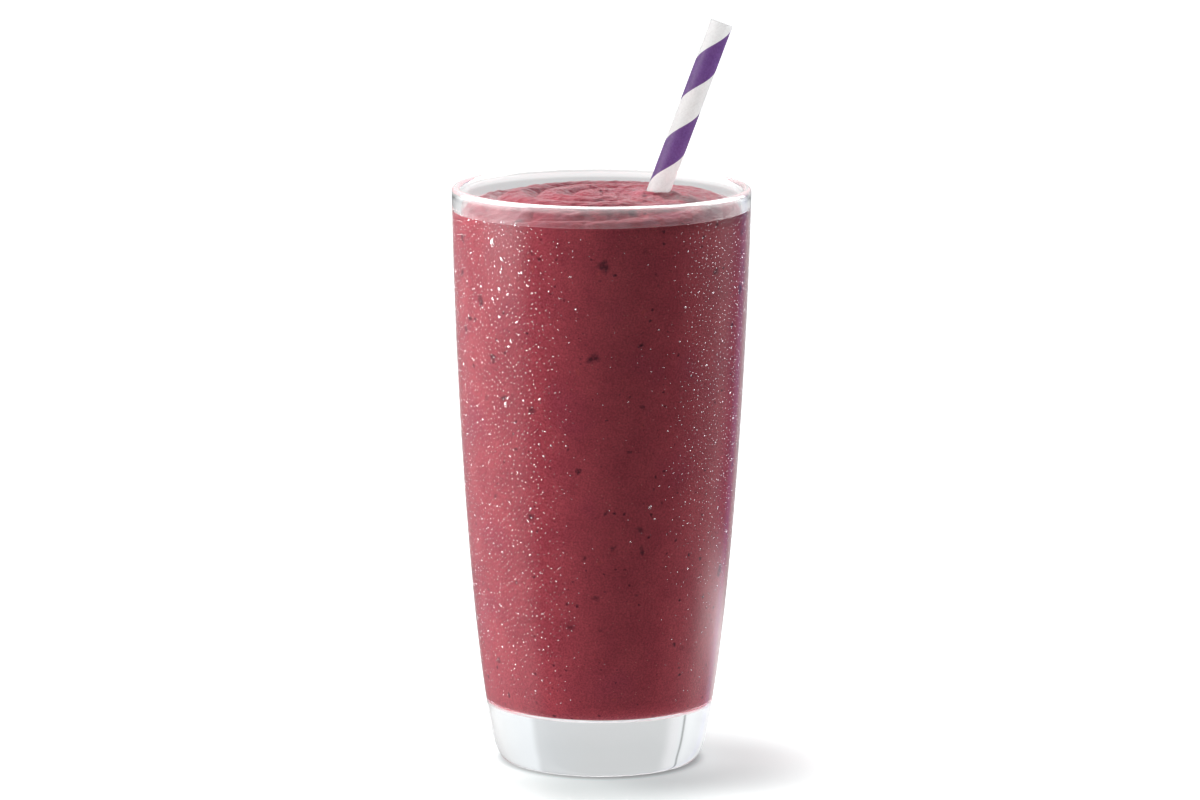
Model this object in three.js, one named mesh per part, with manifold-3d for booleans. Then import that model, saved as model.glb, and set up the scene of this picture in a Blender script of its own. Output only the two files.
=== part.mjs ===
// A tall glass of berry smoothie with a striped paper straw, in millimetres, +Z up.
// The origin is the middle of the glass's foot, on the surface that it stands on,
// and -Y is the side seen from the front.
import * as THREE from "three";
import { mergeVertices } from "three/addons/utils/BufferGeometryUtils.js";
import Module from "manifold-3d";

// Outside of the glass
const GLASS_HEIGHT = 151.7;
const RIM_RADIUS = 39;
const WALL_TAPER = 2.69; // from rim to heel the wall comes in by a straight taper,
const WALL_CURVE = 6.28; // a parabola,
const WALL_TUCK = 1.15; // and a sharper tuck just above the heel
const TUCK_POWER = 8;
const HEEL_HEIGHT = 10.4;
const FOOT_RADIUS = 24;
const HEEL_REACH = 2.6; // the heel's curve leaves the foot level over this reach
const HEEL_RISE = 6.5; // and meets the wall's slope over this rise

// Inside of the glass
const WALL_AT_RIM = 2.3;
const WALL_AT_FLOOR = 2.9;
const FLOOR_HEIGHT = 15;
const CORNER_RADIUS = 6;

// Drink
const FIT_GAP = 0.3; // between the drink and what it touches
const DRINK_LEVEL = 145.95; // where it meets the wall
const DOME_RISE = 3.6;
const DOME_POWER = 6; // a flat crown that drops away near the wall
const SIDE_RISE = 0.4; // it stands this much higher on the right than in the middle
const SWIRL_ARMS = 2;
const SWIRL_SPACING = 10; // between neighbouring folds
const SWIRL_CREST = 22; // a fold's crest passes the left side at this radius
const SWIRL_DEPTH = 1.5;
const SWIRL_LEFT_SHARE = 0.65; // the folds are deepest on the left, and shallow on the right
const SWIRL_LEVEL = 0.64; // the share of a fold that lies below the dome's own surface
const SWIRL_FADE_IN = 6; // the folds die away this near the middle
const SWIRL_FADE_OUT = 5; // and this near the wall
const COLLAR_RISE = 0.9; // the drink is pushed up round the straw
const COLLAR_RADIUS = 3.6;
const COLLAR_WIDTH = 1.6;

// Straw
const STRAW_RADIUS = 3;
const STRAW_WALL = 0.5;
const STRAW_TOP = new THREE.Vector3(31.04, 4.79, 194.1); // middle of its top end
const STRAW_TILT = THREE.MathUtils.degToRad(21.2); // from upright
const STRAW_HEADING = THREE.MathUtils.degToRad(16); // it leans to the right and a little back
const STRAW_LENGTH = 156;

// How finely the round forms are divided
const ROUND_STEPS = 60;
const STRAW_STEPS = 20;
const HEEL_STEPS = 5;
const WALL_STEPS = 13;
const RIM_STEPS = 8;
const CAVITY_STEPS = 9;
const CORNER_STEPS = 5;
const TOP_RINGS = 21;

const wasm = await Module();
wasm.setup();

const smooth = THREE.MathUtils.smoothstep;

// Outer radius of the glass's wall at height z, between the heel and the rim.
function outerRadius(z) {
  const top = GLASS_HEIGHT - WALL_AT_RIM / 2;
  const down = (top - z) / (top - HEEL_HEIGHT);
  const tuck = WALL_TUCK * down ** TUCK_POWER;
  return RIM_RADIUS - WALL_TAPER * down - WALL_CURVE * down ** 2 - tuck;
}

// Radius of the cavity at height z: the wall thickens a little from rim to floor.
function innerRadius(z) {
  const down = (GLASS_HEIGHT - z) / (GLASS_HEIGHT - FLOOR_HEIGHT);
  const wall = WALL_AT_RIM + (WALL_AT_FLOOR - WALL_AT_RIM) * down;
  return outerRadius(z) - wall;
}

// Slope of a wall, as millimetres of radius for each millimetre of height.
function slopeAt(radius, z) {
  return radius(z + 0.5) - radius(z - 0.5);
}

// Half profile of the cavity from the middle of its floor up to height top, moved in by inset.
function cavityProfile(inset, top) {
  const lean = Math.atan(slopeAt(innerRadius, FLOOR_HEIGHT + CORNER_RADIUS));
  const joinHeight = FLOOR_HEIGHT + CORNER_RADIUS * (1 - Math.sin(lean));
  const centreX = innerRadius(joinHeight) - CORNER_RADIUS * Math.cos(lean);
  const centreZ = FLOOR_HEIGHT + CORNER_RADIUS;
  const points = [new THREE.Vector2(0, FLOOR_HEIGHT + inset)];
  for (let i = 0; i <= CORNER_STEPS; i++) {
    const a = -Math.PI / 2 + (i / CORNER_STEPS) * (Math.PI / 2 - lean);
    const r = CORNER_RADIUS - inset;
    points.push(
      new THREE.Vector2(centreX + r * Math.cos(a), centreZ + r * Math.sin(a)),
    );
  }
  for (let i = 1; i <= CAVITY_STEPS; i++) {
    const z = joinHeight + (top - joinHeight) * (i / CAVITY_STEPS);
    points.push(new THREE.Vector2(innerRadius(z) - inset, z));
  }
  return points;
}

// A body of revolution about +Z from a half profile that starts and ends on the axis.
function turned(points, steps) {
  return new THREE.LatheGeometry(points, steps).rotateX(Math.PI / 2);
}

// Glass: heavy base, rounded heel, curved wall and a fire-polished round rim.
function glassGeometry() {
  const slope = slopeAt(outerRadius, HEEL_HEIGHT);
  const heelRadius = outerRadius(HEEL_HEIGHT);
  const heel = new THREE.CubicBezierCurve(
    new THREE.Vector2(FOOT_RADIUS, 0),
    new THREE.Vector2(FOOT_RADIUS + HEEL_REACH, 0),
    new THREE.Vector2(heelRadius - slope * HEEL_RISE, HEEL_HEIGHT - HEEL_RISE),
    new THREE.Vector2(heelRadius, HEEL_HEIGHT),
  );
  const points = [new THREE.Vector2(0, 0), ...heel.getPoints(HEEL_STEPS)];
  const lip = WALL_AT_RIM / 2;
  const lipHeight = GLASS_HEIGHT - lip;
  for (let i = 1; i < WALL_STEPS; i++) {
    const z = HEEL_HEIGHT + (lipHeight - HEEL_HEIGHT) * (i / WALL_STEPS);
    points.push(new THREE.Vector2(outerRadius(z), z));
  }
  for (let i = 0; i < RIM_STEPS; i++) {
    const a = (i / RIM_STEPS) * Math.PI;
    const r = RIM_RADIUS - lip + lip * Math.cos(a);
    points.push(new THREE.Vector2(r, lipHeight + lip * Math.sin(a)));
  }
  points.push(...cavityProfile(0, lipHeight).reverse());
  return turned(points, ROUND_STEPS);
}

// The straw's frame: its own +Z runs up the straw, from its bottom end at the origin.
const strawAxis = new THREE.Vector3(
  Math.sin(STRAW_TILT) * Math.cos(STRAW_HEADING),
  Math.sin(STRAW_TILT) * Math.sin(STRAW_HEADING),
  Math.cos(STRAW_TILT),
);
const strawFoot = STRAW_TOP.clone().addScaledVector(strawAxis, -STRAW_LENGTH);
const strawTurn = new THREE.Quaternion().setFromUnitVectors(
  new THREE.Vector3(0, 0, 1),
  strawAxis,
);

// Straw: a plain tube, open at both ends, whose section closes on itself.
function strawGeometry() {
  const bore = STRAW_RADIUS - STRAW_WALL;
  const section = [
    [bore, 0],
    [STRAW_RADIUS, 0],
    [STRAW_RADIUS, STRAW_LENGTH],
    [bore, STRAW_LENGTH],
    [bore, 0],
  ];
  return turned(
    section.map(([r, z]) => new THREE.Vector2(r, z)),
    STRAW_STEPS,
  );
}

// Room for the straw in the drink: a solid rod, one gap larger all round and at its foot.
function strawRoomGeometry() {
  const r = STRAW_RADIUS + FIT_GAP;
  const section = [
    [0, -FIT_GAP],
    [r, -FIT_GAP],
    [r, STRAW_LENGTH],
    [0, STRAW_LENGTH],
  ];
  return turned(
    section.map(([x, z]) => new THREE.Vector2(x, z)),
    STRAW_STEPS,
  );
}

// Distance from the straw's centre line, measured at the height of the drink's crown.
function distanceFromStraw(x, y) {
  const crown = DRINK_LEVEL + DOME_RISE;
  const toPoint = new THREE.Vector3(x, y, crown).sub(strawFoot);
  return toPoint.cross(strawAxis).length();
}

// Height of the drink's surface over the middle of the foot: a low dome, folds that
// spiral out from the middle, and a collar round the straw.
function drinkHeight(x, y) {
  const wall = innerRadius(DRINK_LEVEL) - FIT_GAP;
  const r = Math.min(Math.hypot(x, y), wall);
  const dome = DOME_RISE * (1 - (r / wall) ** DOME_POWER);
  const side = (SIDE_RISE * x) / wall;
  const fromLeft = Math.atan2(-y, -x); // 0 on the left, growing towards the front
  const arms = (SWIRL_ARMS * fromLeft) / (2 * Math.PI);
  const fold = Math.abs(
    Math.cos(Math.PI * ((r - SWIRL_CREST) / SWIRL_SPACING + arms)),
  );
  const share = SWIRL_LEFT_SHARE + (1 - SWIRL_LEFT_SHARE) * Math.cos(fromLeft);
  const fade = smooth(r, 0, SWIRL_FADE_IN) * smooth(wall - r, 0, SWIRL_FADE_OUT);
  const swirl = SWIRL_DEPTH * share * fade * (fold - SWIRL_LEVEL);
  const offRing = (distanceFromStraw(x, y) - COLLAR_RADIUS) / COLLAR_WIDTH;
  const collar = COLLAR_RISE * Math.exp(-(offRing ** 2));
  return DRINK_LEVEL + dome + side + swirl + collar * smooth(wall - r, 0, 2);
}

// A closed mesh with shared vertices as a solid that can be cut.
function solidOf(geometry) {
  const bare = geometry.clone();
  bare.deleteAttribute("normal");
  bare.deleteAttribute("uv");
  const merged = mergeVertices(bare, 1e-4);
  const corners = merged.index.array;
  const kept = [];
  for (let i = 0; i < corners.length; i += 3) {
    const [a, b, c] = corners.slice(i, i + 3);
    if (a !== b && b !== c && c !== a) kept.push(a, b, c);
  }
  return new wasm.Manifold(
    new wasm.Mesh({
      numProp: 3,
      vertProperties: merged.attributes.position.array,
      triVerts: new Uint32Array(kept),
    }),
  );
}

// A solid's surface as a geometry with flat faces.
function geometryOf(solid) {
  const { vertProperties, triVerts, numProp } = solid.getMesh();
  const positions = new Float32Array((vertProperties.length / numProp) * 3);
  for (let i = 0; i * 3 < positions.length; i++) {
    const vertex = vertProperties.subarray(i * numProp, i * numProp + 3);
    positions.set(vertex, i * 3);
  }
  const geometry = new THREE.BufferGeometry();
  geometry.setAttribute("position", new THREE.BufferAttribute(positions, 3));
  geometry.setIndex(new THREE.BufferAttribute(triVerts, 1));
  geometry.computeVertexNormals();
  return geometry;
}

// Drink: fills the cavity up to its own domed and folded surface, cut round the straw.
function drinkGeometry() {
  const side = cavityProfile(FIT_GAP, DRINK_LEVEL);
  const wall = side[side.length - 1].x;
  const points = [...side];
  for (let i = TOP_RINGS - 1; i >= 0; i--)
    points.push(new THREE.Vector2((wall * i) / TOP_RINGS, DRINK_LEVEL));
  const body = turned(points, ROUND_STEPS);
  const position = body.attributes.position;
  for (let i = 0; i < position.count; i++) {
    const onTop = i % points.length >= side.length - 1;
    if (onTop)
      position.setZ(i, drinkHeight(position.getX(i), position.getY(i)));
  }
  const room = strawRoomGeometry()
    .applyQuaternion(strawTurn)
    .translate(...strawFoot);
  return geometryOf(solidOf(body).subtract(solidOf(room)));
}

function named(name, geometry, material) {
  const mesh = new THREE.Mesh(geometry, material);
  mesh.name = name;
  return mesh;
}

const glass = named(
  "glass",
  glassGeometry(),
  new THREE.MeshStandardMaterial({
    color: 0xf4f7f8,
    roughness: 0.05,
    metalness: 0,
    transparent: true,
    opacity: 0.35,
  }),
);

const smoothie = named(
  "smoothie",
  drinkGeometry(),
  new THREE.MeshStandardMaterial({
    color: 0x96404c,
    roughness: 0.4,
    metalness: 0,
  }),
);

const straw = named(
  "straw",
  strawGeometry(),
  new THREE.MeshStandardMaterial({
    color: 0xf2f0ee,
    roughness: 0.7,
    metalness: 0,
  }),
);
straw.position.copy(strawFoot);
straw.quaternion.copy(strawTurn);

const group = new THREE.Group();
group.add(glass, smoothie, straw);

export default group;
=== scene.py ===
import math

import bmesh
import bpy
import numpy as np
from mathutils import Matrix, Vector


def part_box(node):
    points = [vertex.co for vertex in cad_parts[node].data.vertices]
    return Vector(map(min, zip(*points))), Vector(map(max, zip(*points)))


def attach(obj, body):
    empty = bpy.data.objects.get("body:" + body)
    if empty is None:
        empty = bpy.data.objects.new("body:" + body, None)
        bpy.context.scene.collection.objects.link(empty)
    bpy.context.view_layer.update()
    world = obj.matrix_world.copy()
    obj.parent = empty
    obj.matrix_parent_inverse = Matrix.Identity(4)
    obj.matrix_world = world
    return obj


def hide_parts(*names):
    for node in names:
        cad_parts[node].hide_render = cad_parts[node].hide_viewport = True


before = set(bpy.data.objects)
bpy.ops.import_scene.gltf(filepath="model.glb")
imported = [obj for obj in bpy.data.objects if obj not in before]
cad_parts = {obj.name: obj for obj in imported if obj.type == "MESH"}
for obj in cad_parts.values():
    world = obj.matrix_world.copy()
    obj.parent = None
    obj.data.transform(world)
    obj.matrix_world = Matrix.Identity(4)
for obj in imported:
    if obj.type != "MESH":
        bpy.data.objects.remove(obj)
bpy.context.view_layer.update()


# Camera
# It stands 1.7 m in front of the glass, a little above the rim, and looks down at the middle of
# the glass through a long lens. It leans a quarter of a degree, as the glass does in its picture.
CAMERA_BACK = 1.7089
CAMERA_HEIGHT = 0.3891
CAMERA_SIDE = -0.00016
CAMERA_PITCH = 0.17024
CAMERA_ROLL = 0.004367
CAMERA_LENS = 199.0

camera_data = bpy.data.cameras.new("camera")
camera_data.lens = CAMERA_LENS
camera_data.sensor_width = 36.0
camera_data.clip_end = 20.0
camera = bpy.data.objects.new("camera", camera_data)
bpy.context.scene.collection.objects.link(camera)
bpy.context.scene.camera = camera
turn_down = Matrix.Rotation(math.pi / 2 - CAMERA_PITCH, 4, "X")
roll = Matrix.Rotation(CAMERA_ROLL, 4, "Z")
place = Matrix.Translation((CAMERA_SIDE, -CAMERA_BACK, CAMERA_HEIGHT))
camera.matrix_world = place @ turn_down @ roll


# Glass
# A pressed tumbler of clear soda-lime glass: a heavy base, a rounded heel, a wall that curves out
# to the rim, and a lip that was melted round in a flame. One closed surface, turned about its axis.
glass_far_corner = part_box("glass")[1]
GLASS_HEIGHT = glass_far_corner.z
RIM_RADIUS = glass_far_corner.x
WALL_TAPER = 0.00269
WALL_CURVE = 0.00628
WALL_TUCK = 0.00115
TUCK_POWER = 8
HEEL_HEIGHT = 0.0104
FOOT_RADIUS = 0.024
HEEL_REACH = 0.0026
HEEL_RISE = 0.0065
WALL_AT_RIM = 0.0023
WALL_AT_FLOOR = 0.0029
FLOOR_HEIGHT = 0.015
CORNER_RADIUS = 0.006
GLASS_STEPS = 240
HEEL_POINTS = 17
WALL_POINTS = 72
LIP_POINTS = 25
CORNER_STEPS = 14
CAVITY_STEPS = 60
GLASS_INDEX = 1.5
GLASS_TINT = (0.985, 0.995, 0.99, 1.0)
LIGHT_PASSED = 0.96
# The lip is painted a little white, a painted highlight: a share of its glass there is not clear.
LIP_PAINTED_WHITE = 0.12
LIP_WHITE_STARTS_BELOW_RIM = 0.0026
LIP_WHITE_FULL_BELOW_RIM = 0.0008


def outer_radius(z):
    """Outer radius of the wall at height z, between the heel and the rim."""
    top = GLASS_HEIGHT - WALL_AT_RIM / 2
    down = (top - z) / (top - HEEL_HEIGHT)
    return RIM_RADIUS - WALL_TAPER * down - WALL_CURVE * down**2 - WALL_TUCK * down**TUCK_POWER


def inner_radius(z):
    """Radius of the cavity at height z."""
    down = (GLASS_HEIGHT - z) / (GLASS_HEIGHT - FLOOR_HEIGHT)
    return outer_radius(z) - WALL_AT_RIM - (WALL_AT_FLOOR - WALL_AT_RIM) * down


def slope_at(radius, z):
    """Millimetres of radius that a wall gains in a millimetre of height."""
    step = 0.0005
    return (radius(z + step) - radius(z - step)) / (2 * step)


def cavity_profile(inset, top, corner_steps, wall_steps):
    """Half profile of the cavity from the middle of its floor up to height top, moved in by inset."""
    lean = math.atan(slope_at(inner_radius, FLOOR_HEIGHT + CORNER_RADIUS))
    join_height = FLOOR_HEIGHT + CORNER_RADIUS * (1 - math.sin(lean))
    centre_r = inner_radius(join_height) - CORNER_RADIUS * math.cos(lean)
    centre_z = FLOOR_HEIGHT + CORNER_RADIUS
    reach = CORNER_RADIUS - inset
    points = [(0.0, FLOOR_HEIGHT + inset)]
    for i in range(1, 4):
        points.append((centre_r * i / 4, FLOOR_HEIGHT + inset))
    for i in range(corner_steps + 1):
        a = -math.pi / 2 + (math.pi / 2 - lean) * i / corner_steps
        points.append((centre_r + reach * math.cos(a), centre_z + reach * math.sin(a)))
    for i in range(1, wall_steps + 1):
        z = join_height + (top - join_height) * i / wall_steps
        points.append((inner_radius(z) - inset, z))
    return points


def glass_profile():
    """Half profile of the glass: foot, heel, outer wall, lip, cavity."""
    slope = slope_at(outer_radius, HEEL_HEIGHT)
    heel_radius = outer_radius(HEEL_HEIGHT)
    a = np.array([FOOT_RADIUS, 0.0])
    b = np.array([FOOT_RADIUS + HEEL_REACH, 0.0])
    c = np.array([heel_radius - slope * HEEL_RISE, HEEL_HEIGHT - HEEL_RISE])
    d = np.array([heel_radius, HEEL_HEIGHT])
    points = [(0.0, 0.0), (FOOT_RADIUS / 2, 0.0)]
    for t in np.linspace(0, 1, HEEL_POINTS):
        points.append(tuple(a * (1 - t)**3 + 3 * b * t * (1 - t)**2 + 3 * c * t**2 * (1 - t) + d * t**3))
    lip = WALL_AT_RIM / 2
    lip_r = RIM_RADIUS - lip
    lip_z = GLASS_HEIGHT - lip
    for z in np.linspace(HEEL_HEIGHT, lip_z, WALL_POINTS)[1:-1]:
        points.append((outer_radius(z), z))
    for angle in np.linspace(0, math.pi, LIP_POINTS)[:-1]:
        points.append((lip_r + lip * math.cos(angle), lip_z + lip * math.sin(angle)))
    cavity = cavity_profile(0.0, lip_z, CORNER_STEPS, CAVITY_STEPS)
    return points + cavity[::-1]


def new_object(name, vertices, faces):
    """A smooth-shaded mesh object that sits at the origin, in the scene."""
    mesh = bpy.data.meshes.new(name)
    mesh.from_pydata(vertices, [], faces)
    mesh.polygons.foreach_set("use_smooth", [True] * len(mesh.polygons))
    mesh.update()
    made = bpy.data.objects.new(name, mesh)
    bpy.context.scene.collection.objects.link(made)
    return made


def turned(name, profile, steps):
    """A body of revolution about +Z. A profile point on the axis becomes one pole."""
    vertices = []
    rings = []
    for r, z in profile:
        first = len(vertices)
        if r == 0.0:
            vertices.append((0.0, 0.0, z))
            rings.append([first] * steps)
            continue
        for i in range(steps):
            a = 2 * math.pi * i / steps
            vertices.append((r * math.cos(a), r * math.sin(a), z))
        rings.append(list(range(first, first + steps)))
    faces = []
    for low, high in zip(rings, rings[1:]):
        for i in range(steps):
            j = (i + 1) % steps
            corners = [low[i], low[j], high[j], high[i]]
            faces.append(tuple(dict.fromkeys(corners)))
    return new_object(name, vertices, faces)


def add_node(tree, kind, settings=None, **inputs):
    """A new node with its settings, and each input linked to a socket or set to a value."""
    made = tree.nodes.new(kind)
    for name, value in (settings or {}).items():
        setattr(made, name, value)
    for name, value in inputs.items():
        key = int(name[1:]) if name[0] == "_" else name.replace("_", " ")
        socket = made.inputs[key]
        if isinstance(value, bpy.types.NodeSocket):
            tree.links.new(value, socket)
        else:
            socket.default_value = value
    return made


def maths(tree, operation, a, b=0.0, clamp=False):
    """The output of a Math node."""
    settings = {"operation": operation, "use_clamp": clamp}
    return add_node(tree, "ShaderNodeMath", settings, _0=a, _1=b).outputs[0]


def ramp(tree, value, low, high, to_low=0.0, to_high=1.0):
    """The output of a smooth Map Range node."""
    settings = {"interpolation_type": "SMOOTHSTEP"}
    made = add_node(tree, "ShaderNodeMapRange", settings, Value=value, From_Min=low, From_Max=high)
    made.inputs["To Min"].default_value = to_low
    made.inputs["To Max"].default_value = to_high
    return made.outputs[0]


def mixed(tree, share, a, b, blend="MIX"):
    """The output of a Mix Color node."""
    made = add_node(tree, "ShaderNodeMix", {"data_type": "RGBA", "blend_type": blend})
    for index, value in ((0, share), (6, a), (7, b)):
        if isinstance(value, bpy.types.NodeSocket):
            tree.links.new(value, made.inputs[index])
        else:
            made.inputs[index].default_value = value
    return made.outputs[2]


def noise(tree, vector, scale, detail=2.0, roughness=0.5, distortion=0.0):
    """The value of a Noise Texture."""
    made = add_node(tree, "ShaderNodeTexNoise", None, Vector=vector, Scale=scale, Detail=detail)
    made.inputs["Roughness"].default_value = roughness
    made.inputs["Distortion"].default_value = distortion
    return made.outputs[0]


def new_material(name):
    """An empty material, its tree, its output node and its Object coordinates."""
    material = bpy.data.materials.new(name)
    material.use_nodes = True
    tree = material.node_tree
    tree.nodes.clear()
    output = tree.nodes.new("ShaderNodeOutputMaterial")
    place_on = tree.nodes.new("ShaderNodeTexCoord").outputs["Object"]
    return material, tree, output, place_on


def let_light_through(tree, shader, output, share):
    """Lamps and soft bounces pass a clear piece straight, at the share given, and eyes see it bend."""
    path = tree.nodes.new("ShaderNodeLightPath")
    passing = maths(tree, "MAXIMUM", path.outputs["Is Shadow Ray"], path.outputs["Is Diffuse Ray"])
    clear = add_node(tree, "ShaderNodeBsdfTransparent", None, Color=(share, share, share, 1.0))
    mix = tree.nodes.new("ShaderNodeMixShader")
    tree.links.new(passing, mix.inputs[0])
    tree.links.new(shader, mix.inputs[1])
    tree.links.new(clear.outputs[0], mix.inputs[2])
    tree.links.new(mix.outputs[0], output.inputs["Surface"])


def glass_material():
    """Clear glass, faintly green in the thick, with wiping marks in its polish and a painted white
    highlight on the lip.
    """
    material, tree, output, at = new_material("glass_clear")
    marks = noise(tree, at, 60.0, 3.0, 0.6, 1.5)
    shader = tree.nodes.new("ShaderNodeBsdfPrincipled")
    shader.inputs["Base Color"].default_value = GLASS_TINT
    height = add_node(tree, "ShaderNodeSeparateXYZ", None, Vector=at).outputs["Z"]
    # Painted highlight: the top of the lip is less clear, so it shows white.
    lip_white_starts = GLASS_HEIGHT - LIP_WHITE_STARTS_BELOW_RIM
    lip_white_full = GLASS_HEIGHT - LIP_WHITE_FULL_BELOW_RIM
    clear = ramp(tree, height, lip_white_starts, lip_white_full, 1.0, 1.0 - LIP_PAINTED_WHITE)
    tree.links.new(clear, shader.inputs["Transmission Weight"])
    shader.inputs["IOR"].default_value = GLASS_INDEX
    tree.links.new(ramp(tree, marks, 0.45, 0.75, 0.0, 0.035), shader.inputs["Roughness"])
    let_light_through(tree, shader.outputs[0], output, LIGHT_PASSED)
    return material


glass = turned("tumbler", glass_profile(), GLASS_STEPS)
glass.data.materials.append(glass_material())
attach(glass, "root")
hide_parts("glass")


# Smoothie
# Blended berries, thick enough to hold a low dome and the folds that it was poured in. It wets the
# glass, so its side reaches a hair into the wall, and its open top is satin, pulpy and wrinkled.
WALL_REACH = 0.00025
DRINK_LEVEL = 0.14595
DOME_RISE = 0.0036
DOME_POWER = 6
SIDE_RISE = 0.0004
SWIRL_ARMS = 2
SWIRL_SPACING = 0.010
SWIRL_CREST = 0.022
SWIRL_DEPTH = 0.0015
SWIRL_LEFT_SHARE = 0.65
SWIRL_LEVEL = 0.64
SWIRL_FADE_IN = 0.006
SWIRL_FADE_OUT = 0.005
COLLAR_RISE = 0.0009
COLLAR_RADIUS = 0.0036
COLLAR_WIDTH = 0.0016
COLLAR_FADE = 0.002
DRINK_STEPS = 360
TOP_RINGS = 120
SIDE_CORNER_STEPS = 10
SIDE_WALL_STEPS = 46
FLOW_STRETCH = 0.28
CRAG_LEVEL = 0.12
DRINK_IN_GLASS_INDEX = 0.9
# The drink's underside is painted pale: a painted highlight of the light in the thick base.
UNDERSIDE_FROM = 0.0009
UNDERSIDE_TO = 0.0007
UNDERSIDE_PAINTED_LIGHT = (0.92, 0.89, 0.9, 1)
PULP_DEEP = (0.60, 0.088, 0.124, 1)
PULP_PALE = (0.70, 0.110, 0.146, 1)
PULP_PURPLE = (0.52, 0.070, 0.135, 1)
PULP_BRIGHT = (0.80, 0.135, 0.130, 1)
SKIN_COLOUR = (0.060, 0.016, 0.032, 1)
GRAIN_DARK = (0.84, 0.82, 0.82, 1)
GRAIN_LIGHT = (1.14, 1.16, 1.16, 1)
# Froth, and also a painted sheen: a pale greyish pink on the open top.
FROTH_AND_SHEEN_COLOUR = (0.66, 0.22, 0.27, 1)
OPEN_TINT = (0.97, 0.97, 1.0, 1)
# Flecks and seeds: size of a grid cell, largest size, share of the cells, depth and raggedness.
FLECKS = (
    (0.0013, 0.00028, 0.60, 0.50, 0.8),
    (0.0032, 0.00070, 0.75, 0.90, 1.8),
    (0.0085, 0.00200, 0.85, 0.80, 2.0),
)
SEEDS = (0.0011, 0.00024, 0.55, 0.6, 0.6)
SEED_COLOUR = (0.95, 0.34, 0.33, 1)
STRAW_TOP = Vector((0.03104, 0.00479, 0.1941))
STRAW_TILT = math.radians(21.2)
STRAW_HEADING = math.radians(16)

straw_axis = Vector((
    math.sin(STRAW_TILT) * math.cos(STRAW_HEADING),
    math.sin(STRAW_TILT) * math.sin(STRAW_HEADING),
    math.cos(STRAW_TILT),
))


def smoothstep(value, low, high):
    """Rises smoothly from 0 at low to 1 at high, or falls where low is above high."""
    t = np.clip((value - low) / (high - low), 0.0, 1.0)
    return t * t * (3 - 2 * t)


def drink_height(x, y):
    """Height of the drink's surface: a low dome, folds that spiral out, and a collar round the straw."""
    wall = inner_radius(DRINK_LEVEL)
    r = np.minimum(np.hypot(x, y), wall)
    dome = DOME_RISE * (1 - (r / wall)**DOME_POWER)
    side = SIDE_RISE * x / wall
    from_left = np.arctan2(-y, -x)
    turns = (r - SWIRL_CREST) / SWIRL_SPACING + SWIRL_ARMS * from_left / (2 * math.pi)
    fold = np.abs(np.cos(math.pi * turns))
    share = SWIRL_LEFT_SHARE + (1 - SWIRL_LEFT_SHARE) * np.cos(from_left)
    fade = smoothstep(r, 0, SWIRL_FADE_IN) * smoothstep(wall - r, 0, SWIRL_FADE_OUT)
    swirl = SWIRL_DEPTH * share * fade * (fold - SWIRL_LEVEL)
    level = np.full_like(x, DRINK_LEVEL + DOME_RISE - STRAW_TOP.z)
    to_top = np.stack([x - STRAW_TOP.x, y - STRAW_TOP.y, level])
    across = np.linalg.norm(np.cross(to_top, np.array(straw_axis), axis=0), axis=0)
    collar = COLLAR_RISE * np.exp(-((across - COLLAR_RADIUS) / COLLAR_WIDTH)**2)
    return DRINK_LEVEL + dome + side + swirl + collar * smoothstep(wall - r, 0, COLLAR_FADE)


def named_value(tree, name):
    """A float attribute of the points."""
    settings = {"data_type": "FLOAT"}
    return add_node(tree, "GeometryNodeInputNamedAttribute", settings, Name=name).outputs[0]


def pulp_tree():
    """Geometry nodes: wrinkles along the flow, crags and a fine grain on the open top, then paint."""
    tree = bpy.data.node_groups.new("pulp_relief", "GeometryNodeTree")
    tree.interface.new_socket("Geometry", in_out="INPUT", socket_type="NodeSocketGeometry")
    for relief in ("Wrinkle", "Crag", "Grain"):
        tree.interface.new_socket(relief + " Height", in_out="INPUT", socket_type="NodeSocketFloat")
        tree.interface.new_socket(relief + " Size", in_out="INPUT", socket_type="NodeSocketFloat")
    for name in ("Side Material", "Top Material"):
        tree.interface.new_socket(name, in_out="INPUT", socket_type="NodeSocketMaterial")
    tree.interface.new_socket("Geometry", in_out="OUTPUT", socket_type="NodeSocketGeometry")
    given = tree.nodes.new("NodeGroupInput").outputs
    place = tree.nodes.new("GeometryNodeInputPosition").outputs[0]
    flow = add_node(tree, "ShaderNodeCombineXYZ", None, X=named_value(tree, "across"))
    slow = maths(tree, "MULTIPLY", named_value(tree, "along"), FLOW_STRETCH)
    tree.links.new(slow, flow.inputs["Y"])
    total = None
    reliefs = (("Wrinkle", flow.outputs[0], 3.0), ("Crag", place, 4.0), ("Grain", place, 2.0))
    for name, vector, detail in reliefs:
        scale = maths(tree, "DIVIDE", 1.0, given[name + " Size"])
        value = noise(tree, vector, scale, detail)
        centred = maths(tree, "SUBTRACT", value, 0.5)
        if name == "Crag":
            centred = maths(tree, "SUBTRACT", CRAG_LEVEL, maths(tree, "ABSOLUTE", centred))
        raised = maths(tree, "MULTIPLY", centred, given[name + " Height"])
        total = raised if total is None else maths(tree, "ADD", total, raised)
    lifted = maths(tree, "MULTIPLY", total, named_value(tree, "open"))
    offset = add_node(tree, "ShaderNodeCombineXYZ", None, Z=lifted).outputs[0]
    moved = add_node(tree, "GeometryNodeSetPosition", None, Geometry=given["Geometry"], Offset=offset)
    real = add_node(tree, "GeometryNodeRealizeInstances", None, Geometry=moved.outputs[0])
    side = add_node(tree, "GeometryNodeSetMaterial", None, Geometry=real.outputs[0])
    tree.links.new(given["Side Material"], side.inputs["Material"])
    is_open = maths(tree, "GREATER_THAN", named_value(tree, "open_face"), 0.5)
    top = add_node(tree, "GeometryNodeSetMaterial", None, Geometry=side.outputs[0], Selection=is_open)
    tree.links.new(given["Top Material"], top.inputs["Material"])
    output = tree.nodes.new("NodeGroupOutput")
    tree.links.new(top.outputs[0], output.inputs[0])
    return tree


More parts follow.
